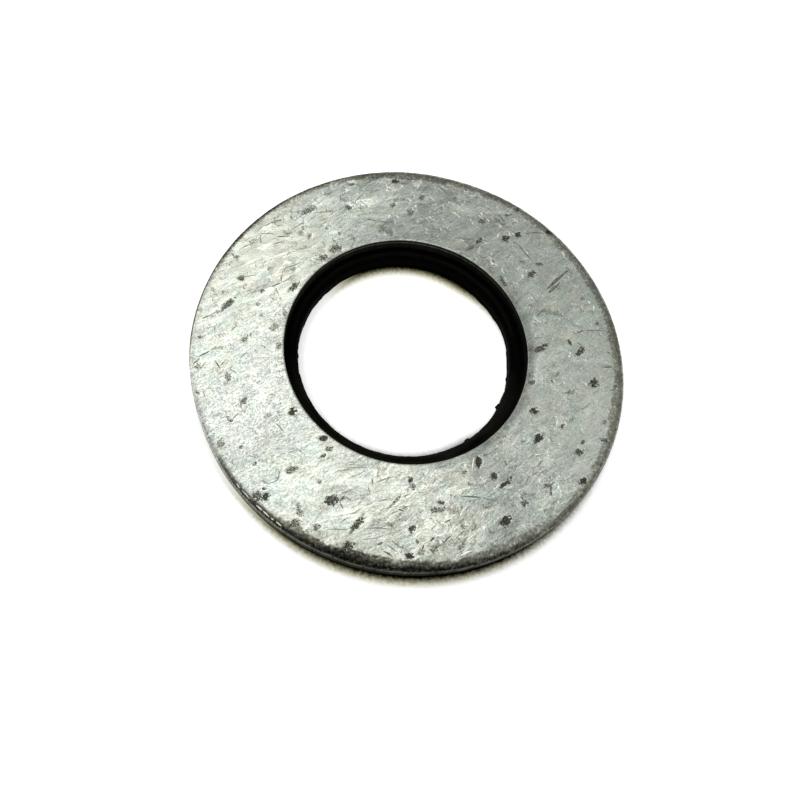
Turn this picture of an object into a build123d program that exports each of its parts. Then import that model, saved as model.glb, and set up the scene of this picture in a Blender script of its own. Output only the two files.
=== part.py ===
"""Bonded sealing washer for a 1/2 in bolt: a flat galvanised steel washer with a
black rubber seal bonded to its underside.

The washer lies flat on its rubber face. The origin is on the bore axis at the sealing
face, and +Z runs along the axis to the steel face that the bolt head bears on.
"""

from build123d import *
import os

# Driving dimensions, in mm
outer_diameter = 25.4         # 1 in steel washer
steel_bore_diameter = 14.29   # 9/16 in hole in the steel
steel_thickness = 0.9
die_roll_width = 0.55         # rounded top rim left by blanking, measured across the face
die_roll_depth = 0.3          # the same rounding, measured down the rim
bore_edge_radius = 0.1        # slight rounding where the punch entered the bore

seal_bore_diameter = 12.7     # the rubber closes on the thread of a 1/2 in bolt
seal_thickness = 1.1
seal_rim_setback = 0.08       # how far the rubber's rim stays inside the steel's
seal_shoulder_radius = 0.45   # rounding of the lip that shows inside the steel bore

# Derived places
outer_radius = outer_diameter / 2
steel_bore_radius = steel_bore_diameter / 2
seal_bore_radius = seal_bore_diameter / 2
seal_outer_radius = outer_radius - seal_rim_setback
bond_height = seal_thickness
top_height = bond_height + steel_thickness
roll_start_radius = outer_radius - die_roll_width
roll_end_height = top_height - die_roll_depth
shoulder_height = bond_height - seal_shoulder_radius
shoulder_start_radius = seal_bore_radius + seal_shoulder_radius

os.makedirs("parts", exist_ok=True)


# Steel washer: a blanked disc with a die-rolled rim, sharp where it meets the rubber
with BuildPart() as steel_washer:
    with BuildSketch(Plane.XZ) as steel_section:
        with BuildLine() as steel_outline:
            Line((steel_bore_radius, bond_height), (outer_radius, bond_height))
            Line((outer_radius, bond_height), (outer_radius, roll_end_height))
            EllipticalCenterArc(
                center=(roll_start_radius, roll_end_height),
                x_radius=die_roll_width,
                y_radius=die_roll_depth,
                start_angle=0,
                arc_size=90,
            )
            Line((roll_start_radius, top_height), (steel_bore_radius, top_height))
            Line((steel_bore_radius, top_height), (steel_bore_radius, bond_height))
        make_face()
        bore_top_corner = steel_section.vertices().group_by(Axis.Y)[-1].sort_by(Axis.X)[0]
        fillet(bore_top_corner, radius=bore_edge_radius)
    revolve(axis=Axis.Z)
steel_washer.part.label = "steel_washer"
export_step(steel_washer.part, "parts/steel_washer.step")


# Rubber seal: bonded face to face under the steel, with a rounded lip in the bore
with BuildPart() as rubber_seal:
    with BuildSketch(Plane.XZ) as seal_section:
        with BuildLine() as seal_outline:
            Line((seal_bore_radius, 0), (seal_outer_radius, 0))
            Line((seal_outer_radius, 0), (seal_outer_radius, bond_height))
            Line((seal_outer_radius, bond_height), (shoulder_start_radius, bond_height))
            CenterArc(
                center=(shoulder_start_radius, shoulder_height),
                radius=seal_shoulder_radius,
                start_angle=90,
                arc_size=90,
            )
            Line((seal_bore_radius, shoulder_height), (seal_bore_radius, 0))
        make_face()
    revolve(axis=Axis.Z)
rubber_seal.part.label = "rubber_seal"
export_step(rubber_seal.part, "parts/rubber_seal.step")
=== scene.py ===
"""Looks of a bonded sealing washer: pitted galvanised steel over a torn-edged black rubber seal."""

import math
from functools import reduce

import bpy
import numpy as np
from bpy.types import NodeSocket
from mathutils import Matrix, Vector


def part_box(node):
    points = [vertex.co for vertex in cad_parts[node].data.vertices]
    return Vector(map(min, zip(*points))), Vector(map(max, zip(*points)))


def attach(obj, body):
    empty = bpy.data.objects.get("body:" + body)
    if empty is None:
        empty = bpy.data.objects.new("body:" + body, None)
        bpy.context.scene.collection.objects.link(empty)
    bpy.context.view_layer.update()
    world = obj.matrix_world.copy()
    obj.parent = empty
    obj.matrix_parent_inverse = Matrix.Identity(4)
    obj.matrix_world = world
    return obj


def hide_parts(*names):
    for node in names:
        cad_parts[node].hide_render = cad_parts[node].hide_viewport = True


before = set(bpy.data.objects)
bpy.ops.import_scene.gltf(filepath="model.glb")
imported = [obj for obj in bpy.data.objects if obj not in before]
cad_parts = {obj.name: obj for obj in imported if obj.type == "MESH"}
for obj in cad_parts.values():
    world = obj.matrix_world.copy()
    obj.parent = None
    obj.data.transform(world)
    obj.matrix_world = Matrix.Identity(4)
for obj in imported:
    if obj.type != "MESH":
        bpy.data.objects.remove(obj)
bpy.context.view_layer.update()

MM = 0.001

# Sizes taken from the frame, in millimetres
RIM, _, TOP = [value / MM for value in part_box("steel_washer")[1]]
SEAL_RIM, _, BOND = [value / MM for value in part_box("rubber_seal")[1]]

# Radii of the two bores and edges of the section, in millimetres
BORE = 7.145
SEAL_BORE = 6.35
ROLL_WIDTH, ROLL_DEPTH = 0.55, 0.3
BORE_ROUND = 0.05
LIP_ROUND = 0.45

# Camera: its axis passes up and left of the washer, and the lens is shifted to frame it
IMAGE_SIZE = 800
SENSOR_MM = 36.0
FOCAL_PIXELS = 733.3
AXIS_PIXEL = (340.0, 300.0)
VIEW_ELEVATION = 62.07
VIEW_ROLL = 3.76
CAMERA_DEPTH = 42.925
BORE_PIXEL = (405.98, 343.57)
CLIP_NEAR, CLIP_FAR = 0.001, 2.0


def view_rotation():
    """World to camera axes: right, down, forward."""
    elevation, roll = math.radians(VIEW_ELEVATION), math.radians(VIEW_ROLL)
    se, ce = math.sin(elevation), math.cos(elevation)
    sr, cr = math.sin(roll), math.cos(roll)
    return Matrix(((cr, sr * se, sr * ce), (sr, -cr * se, -cr * ce), (0.0, ce, -se)))


def camera_place():
    """Where the camera stands, in millimetres, so that the bore's centre keeps its pixel."""
    offset = [(BORE_PIXEL[i] - AXIS_PIXEL[i]) / FOCAL_PIXELS * CAMERA_DEPTH for i in (0, 1)]
    to_bore = view_rotation().transposed() @ Vector((offset[0], offset[1], CAMERA_DEPTH))
    return Vector((0.0, 0.0, TOP)) - to_bore


def on_face(u, v):
    """Point of the steel's upper face, in millimetres, seen at pixel (u, v)."""
    sight = Vector(((u - AXIS_PIXEL[0]) / FOCAL_PIXELS, (v - AXIS_PIXEL[1]) / FOCAL_PIXELS, 1.0))
    ray = view_rotation().transposed() @ sight
    place = camera_place()
    point = place + ray * ((TOP - place.z) / ray.z)
    return np.array((point.x, point.y))


def make_camera():
    right, down, forward = view_rotation()
    data = bpy.data.cameras.new("camera")
    data.sensor_width = SENSOR_MM
    data.lens = FOCAL_PIXELS / IMAGE_SIZE * SENSOR_MM
    data.shift_x = (IMAGE_SIZE / 2 - AXIS_PIXEL[0]) / IMAGE_SIZE
    data.shift_y = (AXIS_PIXEL[1] - IMAGE_SIZE / 2) / IMAGE_SIZE
    data.clip_start, data.clip_end = CLIP_NEAR, CLIP_FAR
    camera = bpy.data.objects.new("camera", data)
    turn = Matrix((right, -down, -forward)).transposed()
    camera.matrix_world = Matrix.Translation(camera_place() * MM) @ turn.to_4x4()
    bpy.context.collection.objects.link(camera)
    bpy.context.scene.camera = camera


# ---- node helpers

NOISE_SPAN = (0.3, 0.7)  # most values of a noise lie between these
WHOLE = (0.0, 1.0)


def put(kind, inputs, tree=None, **settings):
    """New shader node with its inputs filled, in the given tree or else in the tree of its inputs."""
    tree = tree or next(value.id_data for value in inputs.values() if isinstance(value, NodeSocket))
    node = tree.nodes.new("ShaderNode" + kind)
    for name, value in settings.items():
        setattr(node, name, value)
    fill(node, inputs)
    return node


def fill(node, inputs):
    """Join sockets to the inputs of a node, and set those that are given as plain values."""
    for key, value in inputs.items():
        if isinstance(value, NodeSocket):
            node.id_data.links.new(value, node.inputs[key])
        else:
            node.inputs[key].default_value = value


def attribute(tree, name):
    return put("Attribute", {}, tree, attribute_name=name).outputs["Fac"]


def calc(operation, a, b=0.0, c=0.0):
    return put("Math", {0: a, 1: b, 2: c}, operation=operation).outputs[0]


def joined(operation):
    """Function that joins its values by one operation, one after the other."""
    return lambda *values: reduce(lambda a, b: calc(operation, a, b), values)


plus, minus, times, highest = map(joined, ("ADD", "SUBTRACT", "MULTIPLY", "MAXIMUM"))


def times_plus(a, b, c):
    return calc("MULTIPLY_ADD", a, b, c)


def vector(operation, inputs, part="Vector"):
    return put("VectorMath", inputs, operation=operation).outputs[part]


def dot(a, b):
    return vector("DOT_PRODUCT", {0: a, 1: b}, "Value")


def length(a):
    return vector("LENGTH", {0: a}, "Value")


def product(a, b):
    return vector("MULTIPLY", {0: a, 1: b})


def difference(a, b):
    return vector("SUBTRACT", {0: a, 1: b})


def scaled(a, share):
    return vector("SCALE", {0: a, "Scale": share})


def ramp(value, low, high, start=0.0, end=1.0, kind="SMOOTHSTEP"):
    """Value carried smoothly from start to end while it goes from low to high."""
    sockets = {"Value": value, "From Min": low, "From Max": high, "To Min": start, "To Max": end}
    return put("MapRange", sockets, interpolation_type=kind).outputs["Result"]


def swing(value, reach, middle=0.0, span=NOISE_SPAN):
    """Value carried straight from reach below the middle to reach above it over its span."""
    return ramp(value, *span, middle - reach, middle + reach, "LINEAR")


def blend(share, a, b):
    """Value between two values."""
    return put("Mix", {0: share, 2: a, 3: b}).outputs[0]


def mix(share, a, b):
    """Colour between two colours."""
    return put("Mix", {0: share, 6: a, 7: b}, data_type="RGBA").outputs[2]


def noise(place, scale, detail=2.0, roughness=0.5, part="Fac"):
    """Noise with the given number of cells per millimetre."""
    sockets = {"Vector": place, "Scale": scale, "Detail": detail, "Roughness": roughness}
    return put("TexNoise", sockets).outputs[part]


def bumps(*layers):
    """Normal of layers of relief, each with its height in millimetres, laid over one another."""
    below = {}
    for height, distance in layers:
        sockets = {"Height": height, "Distance": distance * MM, "Strength": 1.0, **below}
        below = {"Normal": put("Bump", sockets).outputs["Normal"]}
    return below["Normal"]


def new_material(name):
    material = bpy.data.materials.new(name)
    material.use_nodes = True
    return material, material.node_tree, material.node_tree.nodes["Principled BSDF"]


def in_millimetres(tree):
    return scaled(put("TexCoord", {}, tree).outputs["Object"], 1 / MM)


# ---- light and floor

# Studio light by direction: a dim room, its pale horizon and lighter ceiling, and a wide soft window
# on the left whose edge crosses the steel
ROOM_LIGHT = 0.28
HORIZON_LIGHT = 0.40
HORIZON_HEIGHT = (0.10, 0.45)  # the paler horizon fades between these heights of the direction
CEILING_LIGHT = 0.50
CEILING_TOWARD = (0.12, -0.30, 0.95)
CEILING_REACH = (0.3, 1.0)  # the ceiling starts and is full at these distances toward it
WINDOW_LIGHT = 1.03
WINDOW_ACROSS = (0.93, 0.37, 0.0)
WINDOW_EDGE = (0.24, 0.13)  # the window starts and is full at these distances across
WINDOW_FRONT = (-0.30, 0.30)  # and fades towards the front
WHITE = (1, 1, 1, 1)


def make_world():
    world = bpy.data.worlds.new("studio")
    bpy.context.scene.world = world
    world.use_nodes = True
    tree = world.node_tree
    direction = put("TexCoord", {}, tree).outputs["Generated"]
    split = put("SeparateXYZ", {0: direction}).outputs
    horizon = ramp(split["Z"], *HORIZON_HEIGHT, HORIZON_LIGHT, 0.0)
    upward = dot(direction, CEILING_TOWARD)
    ceiling = ramp(upward, *CEILING_REACH, 0.0, CEILING_LIGHT)
    window = ramp(dot(direction, WINDOW_ACROSS), *WINDOW_EDGE)
    window = times(window, ramp(split["Y"], *WINDOW_FRONT))
    room = plus(ceiling, horizon, ROOM_LIGHT)
    strength = times_plus(window, WINDOW_LIGHT, room)
    fill(tree.nodes["Background"], {"Strength": strength, "Color": WHITE})


FLOOR_HALF = 600.0
FLOOR_WHITE = 0.9
FLOOR_GLOW = 0.55
FLOOR_ROUGH = 0.9
PAINTED_SHADE_WARM = (1.0, 0.95, 0.52, 1)  # colour of the deepest painted shade where the washer meets the table
PAINTED_SHADE_FRAY = 0.06  # its edge is frayed by this much to both sides, in millimetres
PAINTED_OUTER_SHADE = (12.27, 12.93)  # radii where the painted shade round the washer ends being full and fades out
OUTER_MIDDLE = (0.22, -0.36, 0)  # middle of that shade, thrown a little to the near right
INNER_FADE = 0.85  # width over which the painted shade in the bore fades out
UNDER_STEEL = (9.0, 10.0)  # radii where the colour of the inner painted shade gives way to the outer
# Sides of the table for the painted shade: a heading, two cosines to it, and the values there, smooth
# between them
INNER_START = ((0.09, 1, 0), 0.95, 0.2, 6.40, 6.70)  # radius where the painted shade in the bore starts
INNER_RIGHT = ((1, 0, 0), 0.55, 1.0, 0.0, 0.45)  # added to it where the window shines in
INNER_NEAR = ((0.15, -1, 0), 0.7, 0.95, 0.0, -0.14)  # added to it at the near side
LEAST_LIGHT = ((-1, 0, 0), 0.4, 0.85, 0.0, 0.9)  # towards the window the painted shade is never deeper
WARM_INSIDE = ((0.1, 1, 0), 0.1, 0.85, 0.0, 1.0)  # how warm the inner painted shade is
WARM_OUTSIDE = ((-0.35, -0.94, 0), 0.1, 0.98, 0.0, 1.0, "LINEAR")  # and the outer one


def painted_contact_shade(tree):
    """Painted contact shadow: how much light and glow the table keeps round the washer, and how warm
    this painted shade is.
    """
    place = product(in_millimetres(tree), (1, 1, 0))
    heading = vector("NORMALIZE", {0: place})

    def by_side(toward, *values):
        return ramp(dot(heading, toward), *values)

    uneven = swing(noise(place, 5.0, 3.0, 0.7), PAINTED_SHADE_FRAY)
    thrown = length(difference(place, OUTER_MIDDLE))
    outside = ramp(plus(thrown, uneven), *PAINTED_OUTER_SHADE)
    radius = plus(length(place), uneven)
    begin = plus(by_side(*INNER_START), by_side(*INNER_RIGHT), by_side(*INNER_NEAR))
    inside = ramp(minus(begin, radius), 0.0, INNER_FADE)
    painted_light = highest(outside, inside, by_side(*LEAST_LIGHT))
    inner, outer = by_side(*WARM_INSIDE), by_side(*WARM_OUTSIDE)
    painted_shade_warmth = blend(ramp(radius, *UNDER_STEEL), inner, outer)
    return painted_light, times(painted_shade_warmth, minus(1.0, painted_light))


def make_floor():
    """White table that glows a little for the camera, darkened by a painted contact shadow where it
    meets the washer.
    """
    half = FLOOR_HALF * MM
    mesh = bpy.data.meshes.new("floor")
    mesh.from_pydata([(-half, -half, 0), (half, -half, 0), (half, half, 0), (-half, half, 0)],
                     [], [(0, 1, 2, 3)])
    floor = bpy.data.objects.new("floor", mesh)
    bpy.context.collection.objects.link(floor)
    material, tree, shader = new_material("floor")
    path = put("LightPath", {}, tree).outputs
    seen = highest(path["Is Camera Ray"], path["Is Glossy Ray"], path["Is Transmission Ray"])
    # Painted contact shadow: darkens the table's colour and glow round the washer and inside its bore
    painted_light, painted_shade_warmth = painted_contact_shade(tree)
    tint = scaled(mix(painted_shade_warmth, WHITE, PAINTED_SHADE_WARM), painted_light)
    fill(shader, {
        "Base Color": scaled(tint, FLOOR_WHITE), "Roughness": FLOOR_ROUGH,
        "Specular IOR Level": 0.0, "Emission Color": tint,
        "Emission Strength": times(seen, FLOOR_GLOW)})
    mesh.materials.append(material)


# ---- relief of the steel's face

MAP_STEP = 0.03
MAP_HALF = 13.2
MAP_AXIS = np.arange(-MAP_HALF, MAP_HALF + MAP_STEP, MAP_STEP)
MAP_X, MAP_Y = np.meshgrid(MAP_AXIS, MAP_AXIS)
MAP_RADIUS = np.hypot(MAP_X, MAP_Y)
CLOUD_SIDE = 512  # cells along each side of a random field


def smooth(value, low, high):
    t = np.clip((value - low) / (high - low), 0.0, 1.0)
    return t * t * (3 - 2 * t)


def between(values, i, j, i1, j1, a, b):
    """Values of a grid between its points, at shares a and b of the way to the next ones."""
    near = values[j, i] * (1 - a) + values[j, i1] * a
    far = values[j1, i] * (1 - a) + values[j1, i1] * a
    return near * (1 - b) + far * b


def cloud(x, y, cell, seed):
    """Smooth random field from -1 to 1 with bumps about one cell across."""
    values = np.random.default_rng(seed).uniform(-1, 1, (CLOUD_SIDE, CLOUD_SIDE))
    u, v = x / cell + CLOUD_SIDE / 2, y / cell + CLOUD_SIDE / 2
    i, j = np.floor(u).astype(int), np.floor(v).astype(int)
    a, b = smooth(u - i, 0, 1), smooth(v - j, 0, 1)
    side = CLOUD_SIDE
    return between(values, i % side, j % side, (i + 1) % side, (j + 1) % side, a, b)


def read_map(values, x, y):
    """Values of a map at places between its points."""
    u, v = (x + MAP_HALF) / MAP_STEP, (y + MAP_HALF) / MAP_STEP
    i, j = np.floor(u).astype(int), np.floor(v).astype(int)
    return between(values, i, j, i + 1, j + 1, u - i, v - j)


# Looks of the coating by place: place in millimetres, heading of its streaks in degrees, their depth,
# strength of the sparkling grain, warmth and greenness of the colour
ZONES = (
    ((-9, 6), 24, 0.72, 0.2, 1.2, 0), ((-3, 10.5), 14, 0.82, 0.24, 0, 0.6),
    ((5, 10), 28, 0.42, 0.34, 0.2, 0.6), ((10.5, 3), 42, 0.3, 0.38, 0, 1.2),
    ((11, -4), 48, 0.28, 0.4, 0.5, 0.3), ((6, -9.5), 52, 0.7, 0.6, -0.6, 0),
    ((2, -10.5), 34, 0.8, 0.56, 1.2, 0), ((-1.8, -10.2), -20, 0.8, 0.5, 1, 0),
    ((-3.2, -7.8), -10, 0.74, 0.45, 0.6, 0), ((-4.4, -9.4), -12, 0.66, 0.58, 0.3, 0),
    ((-6.5, -8), 42, 0.42, 0.88, -0.4, 0), ((-9, -5.2), 38, 0.4, 0.95, -0.3, -2.4),
    ((-10.5, -2.5), 36, 0.38, 0.74, 0.3, -0.4),
)
ZONE_BLUR = 4.0  # square of the distance over which neighbours melt together
HEADING_WAVES = ((0.35, 2.6, 11), (0.22, 1.0, 12))  # how far streaks wander in radians, size, seed


def zone_fields():
    """Heading and depth of the streaks, strength of the grain, warmth and greenness by place."""
    fields = [np.zeros_like(MAP_X) for _ in range(5)]
    total = np.zeros_like(MAP_X)
    for (x, y), angle, *strengths in ZONES:
        weight = 1 / ((MAP_X - x) ** 2 + (MAP_Y - y) ** 2 + ZONE_BLUR) ** 1.5
        for field, value in zip(fields, (math.radians(angle), *strengths)):
            field += weight * value
        total += weight
    heading, *others = (field / total for field in fields)
    for reach, cell, seed in HEADING_WAVES:
        heading = heading + reach * cloud(MAP_X, MAP_Y, cell, seed)
    return heading, *others


# Tarnish and painted light and shade, cleaner and duller places of the face: azimuth in degrees,
# radius and reach in millimetres, change
TARNISH_AND_PAINTED_LIGHT = (
    (285, 9.5, 3.4, 0.22), (301, 9.6, 3, -0.11), (340, 9.6, 5, 0.09), (8, 9.5, 4.5, 0.05),
    (68, 9.4, 5, -0.06), (90, 8, 2.6, -0.12), (105, 9.7, 3.2, 0.1), (226, 10, 4.5, -0.06),
    (268, 9.4, 2.6, 0.06), (260, 11.9, 2.4, -0.14), (318, 9.3, 2.8, 0.09), (345, 8, 2.4, 0.08),
    (210, 8, 3.2, 0.15), (105, 8, 2.6, -0.12), (300, 11.4, 2.6, -0.09), (270, 11.6, 2.2, -0.06),
    (130, 11.2, 3.6, -0.06), (45, 11.6, 3, 0.05), (92, 9.7, 2.2, 0.09), (225, 7.9, 2, -0.07),
    (190, 11.7, 3.4, -0.06), (212, 11.8, 2.4, -0.04), (226, 11.4, 2.2, -0.06), (258, 11.6, 1.8, -0.07),
    (301, 8, 2, -0.09), (56, 8.1, 2.6, -0.08), (62, 11.6, 2.2, -0.07),
)


def tarnish_and_painted_light_map():
    """Share of light that the face gives back by place: tarnish, and painted light and shade."""
    shade = np.ones_like(MAP_X)
    for azimuth, radius, reach, change in TARNISH_AND_PAINTED_LIGHT:
        x, y = radius * math.cos(math.radians(azimuth)), radius * math.sin(math.radians(azimuth))
        shade += change * (1 - smooth(np.hypot(MAP_X - x, MAP_Y - y), 0, reach))
    return shade


def smear(grain, heading, reach):
    """The grain averaged along the heading, which combs it into fibres."""
    cols, rows = np.meshgrid(np.arange(grain.shape[1]), np.arange(grain.shape[0]))
    step_x, step_y = np.cos(heading), np.sin(heading)
    last = grain.shape[0] - 1
    total = np.zeros_like(grain)
    for way in (1, -1):
        x, y = cols.astype(float), rows.astype(float)
        for _ in range(reach):
            i = np.clip(np.rint(x).astype(int), 0, last)
            j = np.clip(np.rint(y).astype(int), 0, last)
            total += grain[j, i]
            x += way * step_x[j, i]
            y += way * step_y[j, i]
    return total / total.std()


# Dark pits on the face, by their darkness: pixel, length and width in pixels, heading unless it is 0
PITS = {
    0.2: ((368, 219, 9, 4, 20), (405, 546, 9, 4), (600, 463, 5, 6, -30), (472, 524, 12, 8, 30)),
    0.25: ((548, 408, 5, 3, 60),),
    0.3: ((552, 404, 6, 7, -20), (606, 365, 16, 2.5, -12)),
    0.35: ((251, 290, 5, 3, 30), (529, 296, 3.5, 3)),
    0.4: ((237, 323, 5, 3, 60), (490, 530, 4, 5), (570, 271, 9, 5, 10), (539, 312, 8, 4, 10),
          (591, 311, 8, 2, 10), (553, 378, 12, 7, 30)),
    0.42: ((383, 228, 9, 7, 20), (425, 222, 8, 5, 30)),
    0.45: ((270, 268, 4, 3, 60),),
    0.48: ((455, 510, 12, 8),),
    0.5: ((288, 232, 9, 4.5, 5), (301, 233, 8, 4), (213, 290, 7, 3.5, -50), (200, 309, 4, 4),
          (225, 384, 4, 3.5), (397, 199, 7, 3, 25), (391, 232, 8, 6), (269, 415, 5, 4.5),
          (572, 419, 8, 4, 40), (506, 462, 3, 5), (455, 198, 6, 5), (444, 183, 4.5, 3.5),
          (552, 312, 22, 5, -8), (532, 348, 7, 8), (531, 375, 6, 6), (341, 233, 5, 2.4)),
    0.55: ((275, 327, 12, 6, 32), (294, 269, 6, 4, 30), (279, 346, 5, 9, 10), (255, 240, 9, 4, 25),
          (392, 525, 7, 4, 10), (422, 552, 8, 6), (463, 545, 17, 6, 65), (471, 484, 5, 2.5, -10)),
    0.6: ((277, 221, 10, 2.2, 14), (310, 236, 3, 8, -12), (258, 304, 4, 4), (285, 313, 4, 5),
          (220, 444, 7, 9, -20), (320, 482, 4.5, 4), (298, 505, 4, 5.5), (436, 549, 6, 5),
          (463, 526, 5, 6), (530, 305, 5, 2.5, 10), (571, 391.5, 10, 4, 15), (218, 311.5, 5, 2.4, 10)),
    0.62: ((228, 377, 6, 9), (197, 366, 8, 4.5, 42), (300, 513, 9, 6, -50), (395, 502, 14, 3, 45),
          (605, 422, 5, 4), (465, 472, 6, 3)),
    0.65: ((308, 211, 15, 5.5, 27), (237, 257, 4.5, 6, 20), (245, 339, 9, 4.5, 40),
          (227, 417, 3.5, 3.5), (241, 447, 4, 3.2), (343, 499, 6, 3, 35), (317, 527, 8, 8),
          (413, 486, 5.5, 8, 20), (524, 441, 6, 2.5, 40), (411, 212, 7, 5, 5), (470, 248, 9, 3.5, 30),
          (508, 215, 7, 3, 5), (503, 280, 14, 4.5, -58)),
    0.66: ((482, 221, 9, 4.5),),
    0.68: ((393, 205, 6, 4, 20), (245, 400, 8, 6, 35), (329, 449, 8, 4.5), (438, 510, 17, 5, 4),
          (539, 264, 6.5, 4)),
    0.7: ((262, 291, 4.5, 4), (324, 257, 8, 6, 15), (336, 248, 11, 8, 20), (200, 337, 4, 3.5),
          (352, 184, 6, 2.5, 10), (255, 464, 4, 4), (291, 470, 12, 5.5, 18), (295, 523, 10, 7),
          (196, 393, 5, 3, -30), (604, 440, 7, 4, -20), (548, 486, 10, 4.5, 5), (551, 492, 3.5, 7),
          (525, 503, 6, 7), (422, 198, 6, 5, 20), (597, 323, 4.5, 3.5), (532, 382, 6, 5)),
    0.75: ((349, 207, 7, 4.5, 20), (228, 304, 16, 6, 36), (257.5, 496, 10, 10, -30),
          (579, 452, 9, 6, 10), (479, 241, 10, 4, 42), (541, 348, 14, 6, 30)),
    0.76: ((532, 274, 8, 7, 10),),
    0.8: ((242, 278, 8, 5, 20), (294, 287, 12, 6, 40), (231, 421, 4.5, 3), (323, 456, 7, 3, 27),
          (337, 500, 3, 5), (583, 442, 4, 4), (442.5, 503, 7, 4), (433, 538.5, 9, 2.5, 52),
          (506, 238, 7.5, 7), (570, 342, 8, 3, -62), (580, 352, 12, 6, 42)),
    0.82: ((331, 501, 14, 10, 38), (358, 524, 18, 6.5, 47), (348, 546, 12, 8, 10)),
    0.85: ((264, 489, 4.5, 3.5), (562.5, 426, 5, 3, 50), (411, 480, 5, 7), (412, 529, 9, 5.5, 50),
          (594, 383, 9, 8, 15)),
    0.9: ((324, 438, 9, 5.5, 10), (265.5, 497, 11, 7, 62), (494, 476, 8, 6.5, 20),
          (505, 484, 14, 4.5, 38), (518, 235, 8, 4.5, 5), (548.5, 232, 7, 4, -35)),
    0.95: ((396, 181, 9, 3.5, 5), (583, 481, 9, 7, 20), (478.5, 462, 6.5, 12, -5),
          (410, 556, 9, 6, 15)),
    1: ((293, 412, 9, 7, 42), (534, 411, 9, 6, 12), (538, 438.5, 11, 7.5, 30), (511, 478, 5, 3.5, -30),
          (506, 521, 11, 10, 25), (517.5, 210, 2.6, 5, -20)),
}
PIT_WINDOW = 0.07  # millimetres of the map worked on for each pixel of a pit's length
PIT_RAGGED = 0.35  # how far the jags move a pit's edge, as a share of its half size


def pit_cone(jag, u, v, long, wide, heading=0):
    """The part of the map round a pit, and nearness to it there."""
    turn = math.radians(heading)
    middle = on_face(u, v)
    along = on_face(u + math.cos(turn), v - math.sin(turn)) - middle
    across = on_face(u + math.sin(turn), v + math.cos(turn)) - middle
    low, high = ((middle + side * long * PIT_WINDOW + MAP_HALF) / MAP_STEP for side in (-1, 1))
    left, bottom = np.clip(low, 0, len(MAP_AXIS)).astype(int)
    right, top = np.clip(high + 2, 0, len(MAP_AXIS)).astype(int)
    window = slice(bottom, top), slice(left, right)
    x, y = MAP_X[window] - middle[0], MAP_Y[window] - middle[1]
    (ax, ay), (bx, by) = np.linalg.inv(np.column_stack((along * long / 2, across * wide / 2)))
    away = np.hypot(ax * x + ay * y, bx * x + by * y)
    return window, np.clip(1.0 - 0.5 * (away + PIT_RAGGED * jag[window]), 0, 1)


def pit_map():
    """Nearness to the pits, 0.5 on their edges and 1 in their middles, and their darkness."""
    jag = cloud(MAP_X, MAP_Y, 0.13, 21) + 0.5 * cloud(MAP_X, MAP_Y, 0.06, 22)
    near, dark = np.zeros_like(MAP_X), np.zeros_like(MAP_X)
    for strength, pits in PITS.items():
        for pit in pits:
            window, cone = pit_cone(jag, *pit)
            dark[window] = np.where(cone > near[window], strength, dark[window])
            near[window] = np.maximum(near[window], cone)
    return near, dark


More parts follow.
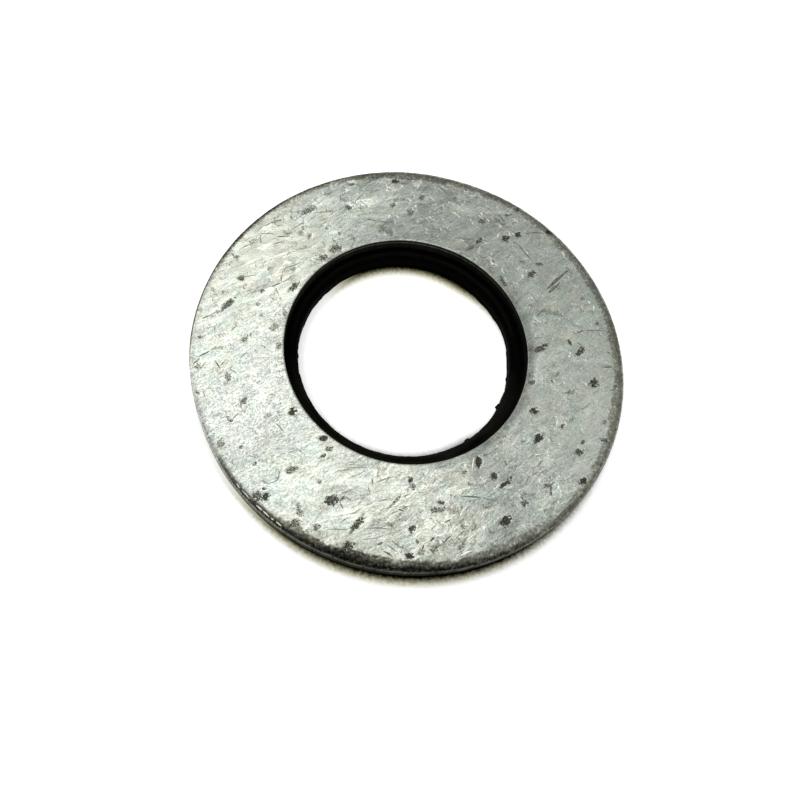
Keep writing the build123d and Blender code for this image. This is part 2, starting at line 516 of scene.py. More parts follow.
# Dark scratches and cracks: pixel of one end, pixels right and down to the other, width, strength
SCRATCHES = (
    (355, 202, 9, -9, 1.2, 0.6), (460, 496, 21, 2, 1.4, 0.75), (481, 498, 19, 4, 1, 0.35),
    (522, 233, 27, 0, 1.2, 0.8), (546, 290, 21, -19.5, 3.2, 0.85), (549, 293, 11, -11, 3, 0.85),
    (573, 334, 11, -4, 1.3, 0.7), (497, 214, 9, 10, 1.2, 0.7), (517, 244, 16, 18, 1.2, 0.7),
    (490, 215, 22, 16, 1, 0.6), (436, 184, 14, 12, 1.2, 0.6), (276, 423, 7, 8, 1.2, 0.5),
    (214, 360, 6, 9, 1.1, 0.6), (221, 366, 4, -5, 1, 0.5), (196, 372, 11, -10, 1.1, 0.45),
    (198, 357, 12, -6, 1.6, 0.9), (377, 545, 6, -2, 1.8, 0.8), (383, 551, 10, 6, 1.5, 0.7),
    (443, 544, 8, -8, 1.4, 0.9), (457, 537, 8, -6, 1.1, 0.6), (398, 509, 6, 2, 1.5, 0.9),
    (402, 509, 6, -3, 1.3, 0.7), (390, 514, 9, -4, 1.2, 0.6), (444, 523, 7, -3, 1.4, 0.7),
    (429, 549, 6, 5, 1.6, 0.9), (421, 551, 3, -6, 1.8, 0.9), (416, 540, 2, 4, 2.4, 0.6),
    (386, 509.5, 14, -11.5, 1.4, 0.6), (344, 468, 22, -1, 1.2, 0.3), (348, 478.5, 18, -7.5, 1.2, 0.35),
    (336, 471.5, 16, -2.5, 1.1, 0.3), (343, 492.5, 14, -5.5, 1.3, 0.5), (345, 496, 6, 4, 1.2, 0.6),
    (371, 478, 2, 7, 1.2, 0.4), (353, 513, 7, -4, 1.3, 0.45), (349, 534.5, 6, -6, 2, 0.8),
    (328, 530, 22, -1, 1.1, 0.3), (372, 484, 28, -10, 1.1, 0.3), (362, 540, 22, -4, 1.2, 0.35),
    (386, 544, 12, 8, 1.2, 0.4), (391, 541, 13, 8, 1.2, 0.35), (404, 497, 7, -5, 1.3, 0.5),
    (363, 528, 29, 1, 1, 0.35), (340, 500, 5, -5, 1.3, 0.8), (340, 503, 3, 6, 1.2, 0.7),
    (368, 487, 3, 7, 1.2, 0.6), (260, 233, 16, 1, 1.3, 0.5), (430, 531, 7, -7, 1.1, 0.5),
    (340, 522, 8, -5, 1.4, 0.5), (377, 502, 13, -4, 1.3, 0.4), (264, 226, 8, -4, 1.6, 0.8),
    (276, 237, 14, -1, 1.4, 0.8), (295, 228, 8, -6, 1.4, 0.7), (271, 287, 10, -4, 1.5, 0.9),
    (281, 283, 14, -8, 1.3, 0.6), (281, 274, 0, 8, 1.2, 0.7), (280, 270, 22, -8, 1.4, 0.6),
    (231, 253, 4, 5, 1.2, 0.6), (240, 249, 18, -8, 1.3, 0.4), (234, 278, 23, -3, 1.3, 0.4),
    (202, 319, 14, -7, 1.6, 0.6), (210, 350, 14, -4, 1.4, 0.4), (193, 364, 7, -6, 1.5, 0.7),
    (231, 331, 6, -6, 1.3, 0.5), (240, 358, 7, -6, 1.4, 0.5), (312, 213, 26, -2, 1.2, 0.4),
    (366, 219, 12, 2, 1.6, 0.5), (378, 221, 10, 2, 1.6, 0.6), (584, 330.5, 22, 0, 1.3, 0.6),
    (536, 317, 8, -8, 1.8, 0.6), (581, 297, 0.5, 4, 1.6, 0.7), (519, 261, 7, 2, 1.5, 0.7),
    (506, 258, 5, -3, 1.5, 0.6), (460, 237, 14, 4, 1.4, 0.5), (576, 342, 8, 4, 1.3, 0.6),
    (601, 367, 12, 0, 1.5, 0.8), (613, 368, 6, 8, 1.4, 0.7), (551, 380, 3, 3, 1.8, 0.8),
    (556, 377, 3, -4, 1.8, 0.6), (580, 411, 10, -8, 1.4, 0.5), (607, 351, 4, 3, 1.8, 0.7),
    (613, 387, 5, -1, 2.2, 0.8), (611, 391, 5, -3, 1.8, 0.7), (610, 428, 8, -7, 2.4, 0.7),
    (512, 473, 5, -7, 1.3, 0.6), (537, 467, 6, -7, 1.8, 0.5), (521, 497, 2, 3, 1.5, 0.8),
    (544, 508, 1, 6, 1.3, 0.6), (487, 268, 7, 5, 1.6, 0.6),
)
# Bright slivers of zinc beside pits and on the rim, without a strength
BURRS = (
    (236.5, 483, 3.5, 5, 1.2), (242, 489.5, 8, 9.5, 1), (256, 504.5, 6, 6, 1.4),
    (262.5, 511, 7.5, 6, 1.2), (271, 517.5, 3, 2.5, 1.2), (276, 521.5, 5.5, 4.5, 1.4),
    (384, 508, 14, -13, 1.8), (459, 517, 8.5, -12, 2), (467, 541, 10, -9, 1.4), (477, 532, 5, -5, 1.2),
    (460, 556, 16, -7, 2.4), (480, 519, 6, -9, 1.4), (476, 514, 5, -4, 1.4), (378, 549, 10, 9, 1.7),
    (388, 550, 12, 9, 1.7), (376, 549, 5, -4, 1.5), (412, 557, 6, -6, 1.4), (433, 551, 3, 6, 1.2),
    (445, 543, 8, -7, 1.4), (395, 538, 10, -4, 1.6), (388, 518, 12, -7, 1.8), (451, 500, 5, -7, 1.5),
    (449.5, 490, 0, 12, 1.4), (476, 545, 11, -9, 1.3), (474.5, 456, -2.5, 14, 2), (492, 490, 10, -7, 2),
    (480, 484, 9, -7, 1.3), (468, 482, 13, 2, 1.1), (515, 471, 3, -5, 1.3), (516, 503, 4, 7, 2),
    (362, 521, 4, -2, 1.8), (535, 455, 10, -2, 2.4), (436, 186, 9, 7, 1.4), (490, 214, 5, 7, 1.2),
    (495, 221, 9, 9, 1), (500, 219, 3, 4, 1), (474, 227, 7, 1, 1.2), (427, 198, 6, 0, 1.2),
    (510, 218, 7, 1, 2), (510, 243, 9, 12, 1.1), (512, 233, 4, 2, 2.4), (523, 258, 6, 1, 1.8),
    (484, 199, 4, 3, 1.4), (552, 289, 8, -8, 1.3), (342, 215, 5, -3, 1.4), (352, 212, 9, -4, 1.2),
    (249, 293, 3, 1, 1.6), (548, 292.5, 12, -11.5, 1.1), (363, 526.5, 9, 0.5, 1.8),
    (382, 546, 13, 8, 1.3),
)

SWELL_HEIGHT = 0.011  # heights on the face, in millimetres
FIBRE_HEIGHT = 0.0022
PIT_DEPTH = 0.03
DENT_HEIGHT = 0.012  # dents of the rolled rim
BORE_DRAW, DRAW_WIDTH = 0.004, 0.7  # how far, over which width the face is drawn down at the bore
FIBRE_GRAIN, FIBRE_STEPS = 0.24, 45  # size of the grain smeared to fibres, steps each way
PIT_WALL = (0.38, 0.75)  # nearness to a pit's middle where its wall starts and ends


def relief_maps():
    """Height of the face in millimetres, and what its material needs to know by place."""
    heading, depth, sparkle, warmth, green = zone_fields()
    broad = smear(cloud(MAP_X, MAP_Y, FIBRE_GRAIN, 1), heading, FIBRE_STEPS)
    swell = cloud(MAP_X, MAP_Y, 2.2, 4) + 0.5 * cloud(MAP_X, MAP_Y, 1.1, 5)
    pits, dark = pit_map()
    height = SWELL_HEIGHT * swell + FIBRE_HEIGHT * depth * broad
    floor = 0.85 + 0.3 * cloud(MAP_X, MAP_Y, 0.1, 6)
    height -= PIT_DEPTH * dark * smooth(pits, *PIT_WALL) * floor
    roll = smooth(MAP_RADIUS, RIM - ROLL_WIDTH - 0.1, RIM)
    height += roll * DENT_HEIGHT * cloud(MAP_X, MAP_Y, 0.22, 7)
    height -= BORE_DRAW * (1 - smooth(MAP_RADIUS, BORE, BORE + DRAW_WIDTH))
    return {"height": height, "pit": pits, "dark": dark, "comb": depth, "sparkle": sparkle,
            "warmth": warmth, "green": green, "turn": np.degrees(heading),
            "streak": np.clip(0.5 + 0.2 * broad, 0, 1), "tarnish_and_painted_light": tarnish_and_painted_light_map()}


# ---- meshes of revolution

AROUND = 1080
OFF_CENTRE = 0.065  # the rim stands this far to the right of the bore, in millimetres


def off_centre(radius):
    return OFF_CENTRE * smooth(radius, BORE + 0.5, RIM - 1.0)


def arc(radius_mid, height_mid, radius_x, radius_z, start, end, count):
    """Points of an elliptical arc of the section, without its last point."""
    turns = np.radians(np.linspace(start, end, count, endpoint=False))
    return [(radius_mid + radius_x * math.cos(t), height_mid + radius_z * math.sin(t)) for t in turns]


def line(start, end, count):
    """Points of a straight run of the section, without its last point."""
    start, end = np.array(start), np.array(end)
    return [tuple(start + (end - start) * k / count) for k in range(count)]


def spin(section, shift):
    """Closed ring mesh of a section; shift gives each point's place from (radius, height, angle)."""
    rings = np.array(section)
    angles = np.linspace(0, 2 * np.pi, AROUND, endpoint=False)
    radius, height, angle = np.broadcast_arrays(rings[:, :1], rings[:, 1:], angles)
    radius, height = shift(radius, height, angle)
    x, y = radius * np.cos(angle) + off_centre(radius), radius * np.sin(angle)
    points = np.stack((x, y, height), axis=-1)
    number = np.arange(angle.size).reshape(angle.shape)
    ahead = np.roll(number, -1, axis=1)
    faces = np.stack((number, ahead, np.roll(ahead, -1, 0), np.roll(number, -1, 0)), axis=-1)
    return points.reshape(-1, 3), faces.reshape(-1, 4)


def make_piece(name, points, faces, material):
    mesh = bpy.data.meshes.new(name)
    mesh.from_pydata(points * MM, [], faces.tolist(), shade_flat=False)
    mesh.materials.append(material)
    mesh.update()
    piece = bpy.data.objects.new(name, mesh)
    bpy.context.collection.objects.link(piece)
    return piece


def add_values(piece, name, values):
    layer = piece.data.attributes.new(name, "FLOAT", "POINT")
    layer.data.foreach_set("value", np.asarray(values, dtype=np.float32).ravel())


# ---- steel

def steel_section():
    """Points of the steel's section, each run with how many it has."""
    roll_start = RIM - ROLL_WIDTH
    roll_end = TOP - ROLL_DEPTH
    edge = BORE + BORE_ROUND
    return (line((RIM, BOND), (RIM, roll_end), 6)
            + arc(roll_start, roll_end, ROLL_WIDTH, ROLL_DEPTH, 0, 90, 10)
            + line((roll_start, TOP), (edge, TOP), 61)
            + arc(edge, TOP - BORE_ROUND, BORE_ROUND, BORE_ROUND, 90, 180, 3)
            + line((BORE, TOP - BORE_ROUND), (BORE, BOND), 8)
            + [(BORE, BOND)])


# Darkness of the worn rim: grime, and shade painted darker on the near side and lighter towards the
# window.
# As the logarithm of its shade, by azimuth in degrees: haze over the face next to it, radius where
# the dark band starts, shade of the band, of its outer edge, of the wall
RIM_GRIME_AND_PAINTED_SHADE = (
    (0, 0, 11.93, 0.75, 0.4, 0.8), (30, 0, 11.9, 0.6, 0.5, 0.8), (75, 0, 11.93, 0.6, 0.4, 0.8),
    (90, 0.1, 11.85, 0.8, 0.5, 0.8), (105, 0.1, 12, 0.75, 0.8, 0.8), (135, 0.1, 12.12, 0.6, 1.9, 0.8),
    (150, 0.05, 12.22, 0.42, 1.9, 0.8), (165, 0.05, 12.24, 0.14, 0.4, 0.8),
    (180, 0.05, 12.26, 0.06, 0, 0.6), (195, 0, 12.15, 0.1, -0.8, 0), (212, 0, 12.2, 0.1, -0.9, 0),
    (220, 0, 12.32, 0.3, 1, 0.6), (230, 0.1, 12.3, 0.5, 1.8, 1.1), (240, 0.15, 12.16, 0.9, 2.4, 2.2),
    (255, 0.3, 12.1, 1.7, 2.2, 2.5), (270, 0.2, 12.04, 1.5, 2.8, 2.8), (285, 0.2, 12.06, 0.9, 2.3, 2.7),
    (300, 0.15, 12.05, 0.4, 1.1, 2.3), (315, 0, 12.08, 0.5, 0.9, 1.8), (330, 0, 12.02, 0.6, 0.5, 1.6),
    (360, 0, 11.93, 0.75, 0.4, 0.8),
)
RIM_HAZE = (10.6, 12.0)  # radii where the haze starts and is full
RIM_BAND = 0.18  # width over which the band darkens
RIM_EDGE = (12.34, 12.54)  # radii where the edge starts to darken and is darkest
RIM_PATCHES = ((1.0, 1.1, 51), (0.7, 0.4, 52), (0.5, 0.16, 54))  # its patches: strength, size, seed
RIM_LINE = (157, 33, 2.3)  # dark line at the foot of the roll: azimuth, half width, depth
RIM_FLATS = ((72, 24, 0.05), (203, 22, 0.08))  # where the rim is worn in: azimuth, half width, depth
BORE_RINGS = (  # dull rings and painted shade round the bore: radii where they start and are full, shade, azimuth
    (8.8, 7.6, 0.20, 80), (7.75, 7.30, 0.55, 340), (7.24, 7.20, 0.45, 10),
)
BORE_WALL = 0.025  # shade of the wall of the bore
BORE_EDGE = (-0.045, 0.008)  # heights against the face between which that wall gives way to it
BORE_LINE = (0.26, 0.09, 0.20, 80)  # lighter line on that wall: depth, half width, shade, azimuth
# Depths below the face between which the rim's grime, its dark line, pits and the relief end
RIM_FOOT, LINE_FOOT, PIT_FOOT, FACE_FOOT = (0.19, 0.13), (0.16, 0.09), (0.3, 0.2), (0.35, 0.12)


def turn_from(azimuth, angle):
    """Degrees between an azimuth and the angles."""
    return np.degrees(np.abs(np.angle(np.exp(1j * (angle - math.radians(azimuth))))))


def facing(azimuth, angle, low, high):
    """How much the angles face an azimuth, by their cosine to it."""
    return smooth(np.cos(angle - math.radians(azimuth)), low, high)


def below_face(height, depths):
    """0 to 1 where the height rises through two depths below the face."""
    return smooth(height, TOP - depths[0], TOP - depths[1])


def rim_shade(radius, height, angle):
    """Share of light that the worn rim gives back: its grime, and shade painted by azimuth."""
    azimuth, *marks = np.array(RIM_GRIME_AND_PAINTED_SHADE).T
    degrees = np.degrees(angle) % 360
    haze, start, band, edge, _ = (np.interp(degrees, azimuth, mark) for mark in marks)
    around = angle * RIM
    patches = sum(part * cloud(around, 2 * radius, cell, seed) for part, cell, seed in RIM_PATCHES)
    start = start + (0.06 + 0.03 * edge) * patches
    band = band * (1 + 0.35 * cloud(around, 2 * radius, 0.7, 53))
    shade = haze * smooth(radius, *RIM_HAZE) + band * smooth(radius, start, start + RIM_BAND)
    shade += edge * np.interp(radius, RIM_EDGE, WHOLE)
    return np.exp(-shade * below_face(height, RIM_FOOT))


def wall_shade(radius, height, angle):
    """Share of light the walls of the rim and bore give back, with shade painted on the rim's wall by
    azimuth, and where they are matt.
    """
    azimuth, wall = np.array(RIM_GRIME_AND_PAINTED_SHADE).T[[0, -1]]
    below = 1 - below_face(height, RIM_FOOT)
    dark = below * (1 - 0.4 * below_face(height, (ROLL_DEPTH, ROLL_DEPTH - 0.04)))
    middle, half, line_shade = RIM_LINE
    foot = below_face(height, (ROLL_DEPTH + 0.02, ROLL_DEPTH - 0.02))
    foot = foot * (1 - below_face(height, LINE_FOOT))
    foot = foot * line_shade * (1 - smooth(turn_from(middle, angle), 0.6 * half, half))
    outer = np.exp(-np.interp(np.degrees(angle) % 360, azimuth, wall) * dark - foot)
    depth, half, shade, toward = BORE_LINE
    lighter = shade * (1 - smooth(np.abs(height - TOP + depth), 0.0, half))
    lighter = lighter * facing(toward, angle, 0.3, 0.8)
    bore = np.maximum(BORE_WALL + lighter, smooth(height, TOP + BORE_EDGE[0], TOP + BORE_EDGE[1]))
    in_bore = radius < BORE + 0.01
    return np.where(in_bore, bore, outer), np.where(in_bore, 1 - bore, below)


def worn_in(radius, angle):
    """Radius of the rim's points where it is worn in."""
    outer = smooth(radius, RIM - 1.2, RIM - 0.3)
    for azimuth, half, depth in RIM_FLATS:
        radius = radius - depth * outer * (1 - smooth(turn_from(azimuth, angle), 0, half))
    return radius


def bore_shade(radius, angle):
    """Share of light that the duller rings round the bore give back, with shade painted towards their
    azimuths.
    """
    return np.exp(-sum(depth * facing(toward, angle, 0.2, 0.9) * smooth(-radius, -start, -full)
                       for start, full, depth, toward in BORE_RINGS))


ROLL_LEAN = 0.6  # share of the relief that pushes out sideways on the roll
WALL_ROUGH = 0.006  # roughness of the wall, in millimetres


def make_steel(maps, material):
    by_place = {}

    def shift(radius, height, angle):
        x, y = radius * np.cos(angle) + off_centre(radius), radius * np.sin(angle)
        for name, values in maps.items():
            by_place[name] = read_map(values, x, y)
        # the rim's grime, and shade painted on the rim and its wall by azimuth
        by_place["rim"] = rim_shade(radius, height, angle)
        by_place["wall"], by_place["matt"] = wall_shade(radius, height, angle)
        # tarnish and painted light and shade of the face, times the bore's dull rings and painted shade
        by_place["tarnish_and_painted_light"] = by_place["tarnish_and_painted_light"] * bore_shade(radius, angle)
        by_place["pit"] = by_place["pit"] * below_face(height, PIT_FOOT)
        lift = by_place.pop("height")
        face = below_face(height, FACE_FOOT)
        lean = smooth(radius, RIM - ROLL_WIDTH, RIM) * ROLL_LEAN
        wall = (1 - face) * smooth(height, BOND, BOND + 0.05)
        rough = cloud(angle * RIM, height * 4, 0.3, 31) * WALL_ROUGH * wall
        aside = worn_in(radius, angle) + lift * lean * face + rough
        return aside, height + lift * face * (1 - 0.4 * lean)

    points, faces = spin(steel_section(), shift)
    piece = make_piece("steel_washer_worn", points, faces, material)
    for name, values in by_place.items():
        add_values(piece, name, values)
    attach(piece, "root")
    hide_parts("steel_washer")


STREAK_TURNS = (6, 30, 54)  # headings along which streaks are drawn, in degrees
PATCH_EDGES = ((15, 21), (39, 45))  # and the headings between which each gives way to the next
TURN_JITTER = 14  # degrees by which the borders of the patches wander
# Bends of the patterns: noise cells per millimetre, reach in millimetres, detail
BENDS = ((0.35, 1.1, 1.0), (1.5, 0.22, 1.0))
STROKE_BENDS = ((0.3, 0.9, 1.0),)
TORN_BENDS = ((4.0, 0.12, 2.0),)
# Patterns: heading against the streaks, length and width in millimetres, noise detail and roughness
FIBRES = (0, 1.2, 0.08, 3.0, 0.75)
CREASES = (9, 1.1, 0.20, 3.0, 0.65)
NEEDLES = (5, 0.5, 0.06, 2.0, 0.6)
LEAVES = (0, 1.5, 0.40)
SHEETS = (4, 3.0, 0.85)
STROKES = ((24, 0.8, 0.10), (47, 0.7, 0.08))  # headings of their own
CRYSTALS = (38, 0.085, 0.065)
CREASE_WIDTH = 0.014  # how far the noise may be from its middle in a crease
STROKE_LIGHT = (0.94, 0.95, 0.0, 0.32)  # strokes drawn brighter: their random values, change of shade
STROKE_DARK = (0.08, 0.07, 0.0, -0.26)  # and darker
ZINC_COLOUR = (0.565, 0.606, 0.539)
DIRT_COLOUR = (0.60, 0.60, 0.46, 1)  # olive of pits, and of the rim where grime and painted shade darken it
# Change of shade either way by each pattern, and its relief in millimetres
FIBRE_SWING, FIBRE_RELIEF = 0.12, 0.004
LEAF_SWING, LEAF_RELIEF = 0.17, 0.026
SHEET_SWING, SHEET_RELIEF = 0.15, 0.058
CRYSTAL_SWING, CRYSTAL_RELIEF = 0.38, 0.003
GRAIN_SWING, GRAIN_RELIEF = 0.30, 0.003
NEEDLE_SWING, CREASE_SHADE = 0.14, -0.8


def turned(place, turn, along, across):
    """Coordinates turned to a heading, counted in sizes along and across it."""
    sockets = {"Vector": place, "Angle": math.radians(-turn)}
    spun = put("VectorRotate", sockets, rotation_type="Z_AXIS").outputs[0]
    return product(spun, (1 / along, 1 / across, 0.0))


def flakes(place, turn, along, across):
    """Overlapping leaves of zinc: the height of their tilted faces and a random value for each."""
    drawn = turned(place, turn, along, across)
    cells = put("TexVoronoi", {"Vector": drawn, "Scale": 1.0}, voronoi_dimensions="2D")
    lean = difference(cells.outputs["Color"], (0.5, 0.35, 0.0))
    aside = difference(drawn, cells.outputs["Position"])
    value = put("SeparateColor", {0: cells.outputs["Color"]}).outputs[2]
    return dot(lean, aside), value


def patchwork(turn, choices):
    """The one of three values that is drawn nearest to the heading there, blended where they meet."""
    low, middle, high = choices
    first, second = PATCH_EDGES
    lower = blend(ramp(turn, *first), low, middle)
    return blend(ramp(turn, *second), lower, high)


def strands(turn, place, offset, along, across, detail, roughness):
    """Noise drawn out along the streaks."""
    drawn = [turned(place, way + offset, along, across) for way in STREAK_TURNS]
    return patchwork(turn, [noise(way, 1.0, detail, roughness) for way in drawn])


def leafing(turn, place, offset, along, across):
    """Leaves lying along the streaks: their height and a random value for each."""
    drawn = [flakes(place, way + offset, along, across) for way in STREAK_TURNS]
    return [patchwork(turn, part) for part in zip(*drawn)]


def wandering(flat, bent, bends):
    """Coordinates bent further by noise over the flat ones, so that straight patterns flow."""
    for scale, reach, detail in bends:
        wander = noise(flat, scale, detail, part="Color")
        bent = vector("MULTIPLY_ADD", {0: wander, 1: (reach, reach, 0), 2: bent})
    return bent


def creases(flat, lines):
    """Thin dark lines along the middle values of a drawn-out noise, broken off in places."""
    crease = ramp(calc("ABSOLUTE", minus(lines, 0.5)), 0.0, CREASE_WIDTH)
    broken = ramp(noise(flat, 1.6, 3.0, 0.6), 0.44, 0.55)
    return times(minus(1.0, crease), broken)


def zinc_patterns(flat, bent, by_place):
    """Shade of the bare coating, and the layers of its relief with their heights."""
    straight = wandering(flat, flat, STROKE_BENDS)
    torn = wandering(flat, bent, TORN_BENDS)
    uneven = swing(noise(flat, 1.2, 3.0), TURN_JITTER)
    turn = plus(by_place["turn"], uneven)
    fibres = strands(turn, bent, *FIBRES)
    crease = creases(flat, strands(turn, bent, *CREASES))
    needles = strands(turn, torn, *NEEDLES)
    leaf_height, leaf = leafing(turn, torn, *LEAVES)
    sheet_height, sheet = leafing(turn, torn, *SHEETS)
    crystal_height, crystal = flakes(bent, *CRYSTALS)
    grain = noise(flat, 12.0, 3.0, 0.8)
    strokes = [ramp(flakes(straight, *stroke)[1], *side)
               for stroke in STROKES for side in (STROKE_LIGHT, STROKE_DARK)]

    # Directional parts count by the depth of the streaks, and the grain by its own strength
    combed = plus(swing(fibres, FIBRE_SWING), times(crease, CREASE_SHADE), swing(needles, NEEDLE_SWING),
                  swing(leaf, LEAF_SWING, 0, WHOLE), swing(sheet, SHEET_SWING, 0, WHOLE), *strokes)
    sparkling = plus(swing(crystal, CRYSTAL_SWING, 0, WHOLE), swing(grain, GRAIN_SWING))
    vary = times_plus(sparkling, by_place["sparkle"], times_plus(combed, by_place["comb"], 1.0))
    clouds = ramp(noise(flat, 1.3, 4.0, 0.75), 0.25, 0.75, 0.86, 1.16, "LINEAR")
    streaks = swing(by_place["streak"], 0.08, 1.0, WHOLE)
    layers = ((sheet_height, SHEET_RELIEF), (leaf_height, LEAF_RELIEF),
              (crystal_height, CRYSTAL_RELIEF), (fibres, FIBRE_RELIEF), (grain, GRAIN_RELIEF))
    # the last factor is tarnish with painted light and shade
    return times(clouds, vary, streaks, by_place["tarnish_and_painted_light"]), layers


def pit_cover(flat, by_place):
    """How much of the face the pits take away: ragged at their edges, with bare specks inside."""
    uneven = times_plus(by_place["dark"], -1.3, 2.5)
    ragged = minus(noise(flat, 8.0, 3.0, 0.75), 0.5)
    ragged = times_plus(ragged, uneven, by_place["pit"])
    speck = times_plus(by_place["dark"], 0.45, noise(flat, 13.0, 3.0, 0.7))
    covered = highest(ramp(speck, 0.67, 0.86), times(by_place["dark"], 0.45))
    return times(ramp(ragged, 0.46, 0.54), covered)


def edge_shade(flat, by_place):
    """Shade of the walls and of the mottled grime on the rim, with the shade painted on both by
    azimuth.
    """
    mottle = noise(flat, 6.0, 4.0, 0.8)
    grime = calc("POWER", by_place["rim"], swing(mottle, 0.8, 1.0))
    bare = times_plus(mottle, -3.2, plus(by_place["rim"], 1.6))
    return times(blend(ramp(bare, 0.68, 0.78), grime, 1.0), by_place["wall"])


def zinc_tone(flat, bent, by_place):
    """Colour of the coating: grey green with faint bluish and warm clouds."""
    red = times_plus(noise(flat, 1.1, 4.0), 0.24, 0.88)
    red = times_plus(by_place["warmth"], 0.022, red)
    green = times_plus(by_place["green"], 0.014, 1.0)
    blue = times_plus(noise(bent, 0.9, 4.0), -0.20, 1.10)
    blue = times_plus(by_place["warmth"], -0.020, blue)
    cloudy = put("CombineXYZ", {0: red, 1: green, 2: blue}).outputs[0]
    return product(cloudy, ZINC_COLOUR)


def steel_material():
    material, tree, shader = new_material("galvanised_steel")
    flat = product(in_millimetres(tree), (1, 1, 0))
    # Values by place: wear and tone, with painted light and shade among them
    by_place = {name: attribute(tree, name)
            for name in ("pit", "dark", "streak", "comb", "sparkle", "warmth", "green", "turn",
                         "tarnish_and_painted_light", "rim", "wall", "matt")}
    bent = wandering(flat, flat, BENDS)
    shade, layers = zinc_patterns(flat, bent, by_place)
    grain = layers[-1][0]
    pit = pit_cover(flat, by_place)
    shade = blend(pit, shade, ramp(grain, 0.35, 0.7, 0.05, 0.17))
    # The rim's darkness is grime and painted shade; the olive tint and the matt finish follow it
    edges = edge_shade(flat, by_place)
    olive = highest(pit, ramp(edges, 0.9, 0.3, 0.0, 0.8))
    tone = mix(olive, zinc_tone(flat, bent, by_place), DIRT_COLOUR)
    dull = highest(ramp(edges, 0.45, 0.10), by_place["matt"])
    rough = times_plus(pit, 0.25, swing(noise(flat, 2.2, 3.0), 0.035, 0.215))
    fill(shader, {
        "Base Color": scaled(tone, times(shade, edges)),
        "Metallic": minus(1.0, dull), "Roughness": times_plus(dull, 0.10, rough),
        "Specular IOR Level": 0.0, "Normal": bumps(*layers)})
    return material


# ---- bright slivers and dark cracks

SLIVER_STEPS = 10
SLIVER_FORM = (0.35, -0.006)  # height of a ridge as a share of its half width; height of its edges
CRACK_FORM = (0.04, 0.003)  # the same for the dark lens that fills a crack
SLIVER_ROOT = 0.02  # depth to which both reach into the steel
ROLL_CLEAR = 0.010  # both stand this much higher on the rolled rim
SLIVER_SWAY = 0.035  # slivers and cracks sway to both sides by this much, in millimetres
HALF_PIXEL = 0.028  # millimetres on the face
RIDGE_SIDE = -0.2  # where a ridge stands between the middle and the edge of its sliver


def face_height(radius):
    """Height of the steel's face and rolled rim, in millimetres."""
    across = np.clip((radius - (RIM - ROLL_WIDTH)) / ROLL_WIDTH, 0, 1)
    return TOP - ROLL_DEPTH + ROLL_DEPTH * np.sqrt(1 - across ** 2)


def sliver(u, v, right, down, width, lift, sway, form):
    """Points of a thin swaying lens lying on the face from a pixel on, in rings of four."""
    start, end = on_face(u, v), on_face(u + right, v + down)
    aside = np.array((start[1] - end[1], end[0] - start[0])) / np.linalg.norm(end - start)
    share = np.linspace(0, 1, SLIVER_STEPS + 1)[:, None]
    middle = start + (end - start) * share
    bend = read_map(sway, *middle.T)[:, None]
    lens = np.sin(math.pi * (0.03 + 0.94 * share)) ** 0.7
    half = width * HALF_PIXEL * lens * (1 + 0.4 * bend)
    across = bend * SLIVER_SWAY + np.array((-1, RIDGE_SIDE, 1, 0)) * half
    x, y = middle.T[:, :, None] + aside[:, None, None] * across
    radius = np.hypot(x - off_centre(np.hypot(x, y)), y)
    ground = face_height(radius) + read_map(lift, x, y)
    ground += ROLL_CLEAR * smooth(radius, RIM - ROLL_WIDTH, RIM - 0.3)
    proud, edge = form
    high = np.array((edge, edge, edge, -SLIVER_ROOT)) + (0, proud, 0, 0) * half
    return np.stack((x, y, ground + high), axis=-1).reshape(-1, 3)


def make_slivers(name, lines, lift, form, material):
    """One piece of many lenses."""
    sway = cloud(MAP_X, MAP_Y, 0.35, 61)
    points = [sliver(*line[:5], lift, sway, form) for line in lines]
    k = np.arange(4 * SLIVER_STEPS)
    ahead = k - k % 4 + (k + 1) % 4
    ends = np.array(((3, 2, 1, 0), len(k) + np.arange(4)))
    lens = np.concatenate((np.stack((k, ahead, ahead + 4, k + 4), axis=-1), ends))
    faces = [lens + len(points[0]) * number for number in range(len(lines))]
    piece = make_piece(name, np.concatenate(points), np.concatenate(faces), material)
    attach(piece, "root")
    return piece


def make_cracks(lift, material):
    piece = make_slivers("dark_cracks", SCRATCHES, lift, CRACK_FORM, material)
    add_values(piece, "dark", np.repeat([row[-1] for row in SCRATCHES], 4 * (SLIVER_STEPS + 1)))


CRACK_PALE, CRACK_DARK = (0.58, 0.62, 0.54, 1), (0.12, 0.12, 0.09, 1)
SLIVER_DULL, SLIVER_BRIGHT = (0.85, 0.86, 0.76, 1), (1.0, 1.0, 0.92, 1)


def crack_material():
    material, tree, shader = new_material("dark_crack_lines")
    uneven = swing(noise(in_millimetres(tree), 5.0, 3.0, 0.7), -0.35)
    dark = plus(attribute(tree, "dark"), uneven)
    fill(shader, {
        "Base Color": mix(dark, CRACK_PALE, CRACK_DARK), "Specular IOR Level": 0.0,
        "Metallic": ramp(dark, 0.4, 1.0, 1.0, 0.5), "Roughness": 0.3})
    return material


def sliver_material():
    material, tree, shader = new_material("bright_zinc")
    place = in_millimetres(tree)
    by_place = ramp(noise(place, 6.0, 3.0, 0.7), *NOISE_SPAN)
    fill(shader, {
        "Base Color": mix(by_place, SLIVER_DULL, SLIVER_BRIGHT), "Metallic": 1.0,
        "Roughness": ramp(by_place, 0.0, 1.0, 0.42, 0.30),
        "Normal": bumps((noise(place, 20.0), 0.004))})
    return material


# ---- rubber

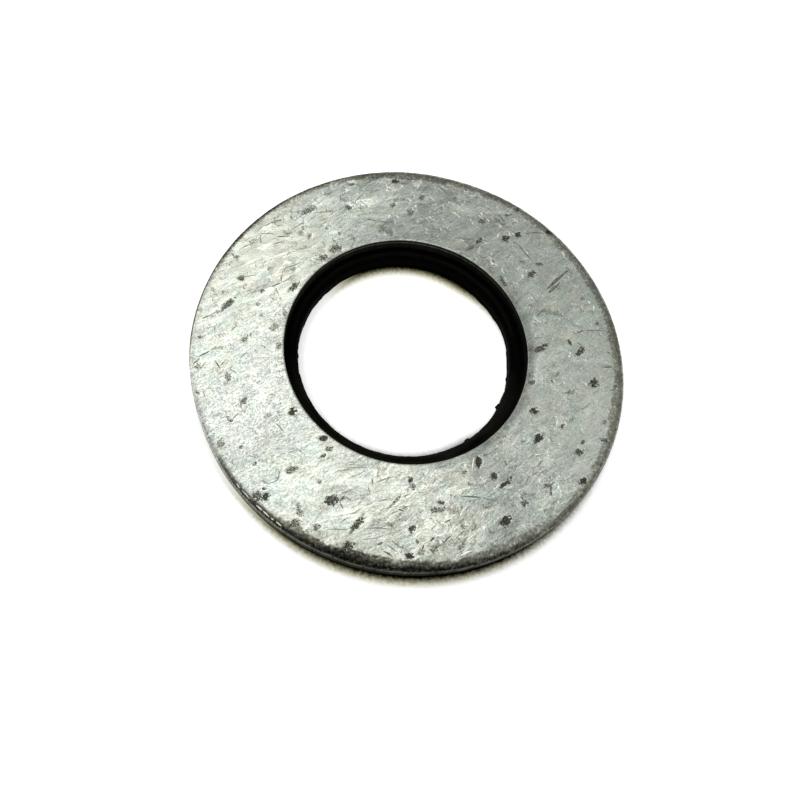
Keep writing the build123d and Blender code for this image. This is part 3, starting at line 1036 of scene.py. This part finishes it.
# Torn places on the bore of the seal: their pixel, how far they stand out, half width
NIBS = (
    ((507, 398), 0.14, 0.10), ((478, 440), 0.16, 0.09), ((298, 364), -0.08, 0.12),
    ((310, 344), 0.07, 0.12), ((509, 366), 0.05, 0.20), ((508, 378), -0.06, 0.15),
    ((517, 318), -0.12, 2.2),
)
TORN_WAVES = ((0.020, 0.55, 41), (0.014, 0.22, 42))  # the rest of the torn edge: reach, size, seed
CORNER = 0.04  # bevel of the seal's lower edges
SHOULDER = (6.72, 0.2)  # radius and half width of the painted highlight on the shoulder of its lip
# Strength of the painted sheen on that shoulder and on the outer wall
SHOULDER_PAINTED_SHEEN, WALL_PAINTED_SHEEN = 0.65, 0.45
OUTSIDE = 9.0  # radius from which the seal is seen from outside
RUBBER_ROUGH = 0.008  # roughness of its walls, in millimetres


def rubber_section():
    """Points of the seal's section, each run with how many it has."""
    lip_radius, lip_height = SEAL_BORE + LIP_ROUND, BOND - LIP_ROUND
    covered = BORE + 0.2
    return (line((SEAL_RIM, CORNER), (SEAL_RIM, BOND), 7)
            + line((SEAL_RIM, BOND), (covered, BOND), 2)
            + line((covered, BOND), (lip_radius, BOND), 7)
            + arc(lip_radius, lip_height, LIP_ROUND, LIP_ROUND, 90, 180, 9)
            + line((SEAL_BORE, lip_height), (SEAL_BORE, CORNER), 9)
            + line((SEAL_BORE, CORNER), (SEAL_BORE + CORNER, 0), 2)
            + line((SEAL_BORE + CORNER, 0), (SEAL_RIM - CORNER, 0), 8)
            + line((SEAL_RIM - CORNER, 0), (SEAL_RIM, CORNER), 2))


def torn_edge(angle):
    """How far the torn bore stands in from its nominal radius, in millimetres."""
    around = angle * SEAL_BORE
    pull = sum(reach * cloud(around, 0 * around, cell, seed) for reach, cell, seed in TORN_WAVES)
    for (u, v), out, half in NIBS:
        x, y = on_face(u, v)
        away = np.angle(np.exp(1j * (angle - math.atan2(y, x)))) * SEAL_BORE
        pull = pull + out * (1 - smooth(np.abs(away), 0, half))
    return pull


def rubber_painted_sheen(radius, height, angle):
    """Painted sheen: how much greyer the rubber is painted on its lip's shoulder (a painted highlight),
    on its near side and outside (painted light).
    """
    away = np.sin(angle)
    middle, half = SHOULDER
    shoulder = (1 - smooth(np.abs(radius - middle), 0.0, half)) * (height > 0.8)
    shoulder = smooth(away, -0.2, 0.6) * shoulder
    near = smooth(-away, 0.0, 0.6) * smooth(height, 0.5, 1.0)
    streaks = 0.7 + 0.5 * cloud(angle * SEAL_BORE, radius * 5, 0.9, 44)
    inside = np.maximum(SHOULDER_PAINTED_SHEEN * shoulder, near)
    return np.where(radius > OUTSIDE, WALL_PAINTED_SHEEN, inside) * streaks


def make_rubber(material):
    painted_sheen = []

    def shift(radius, height, angle):
        # painted sheen of the rubber, kept for its material
        painted_sheen.append(rubber_painted_sheen(radius, height, angle))
        bore = 1 - smooth(radius, SEAL_BORE + 0.05, SEAL_BORE + LIP_ROUND)
        low = 1 - 0.6 * smooth(height, 0.1, BOND - 0.1)
        rough = cloud(angle * radius, radius * 3 + height * 3, 0.16, 43) * RUBBER_ROUGH
        free = smooth(height, 0.02, 0.06) * (1 - smooth(height, BOND - 0.01, BOND)) * (radius < 8)
        return radius - torn_edge(angle) * bore * low + rough * free, height

    points, faces = spin(rubber_section(), shift)
    piece = make_piece("rubber_seal_torn", points, faces, material)
    add_values(piece, "painted_sheen", painted_sheen[0])
    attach(piece, "root")
    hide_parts("rubber_seal")


# Black rubber, its dust, and the grey of its painted sheen
RUBBER_BLACK = (0.0002, 0.0002, 0.0002, 1)
RUBBER_DUST = (0.0016, 0.0014, 0.0010, 1)
RUBBER_PAINTED_SHEEN_GREY = (0.0090, 0.0092, 0.0068, 1)


def rubber_material():
    material, tree, shader = new_material("seal_rubber")
    place = in_millimetres(tree)
    dust = ramp(noise(place, 3.0, 4.0, 0.65), 0.4, 0.75)
    black = mix(dust, RUBBER_BLACK, RUBBER_DUST)
    fill(shader, {
        "Base Color": mix(attribute(tree, "painted_sheen"), black, RUBBER_PAINTED_SHEEN_GREY),
        "Roughness": ramp(noise(place, 7.0), *NOISE_SPAN, 0.62, 0.8),
        "Specular IOR Level": 0.012,
        "Normal": bumps((noise(place, 14.0, 3.0, 0.7), 0.02))})
    return material


make_camera()
make_world()
make_floor()
relief = relief_maps()
make_steel(relief, steel_material())
make_slivers("zinc_slivers", BURRS, relief["height"], SLIVER_FORM, sliver_material())
make_cracks(relief["height"], crack_material())
make_rubber(rubber_material())

bpy.context.scene.view_settings.view_transform = "Standard"
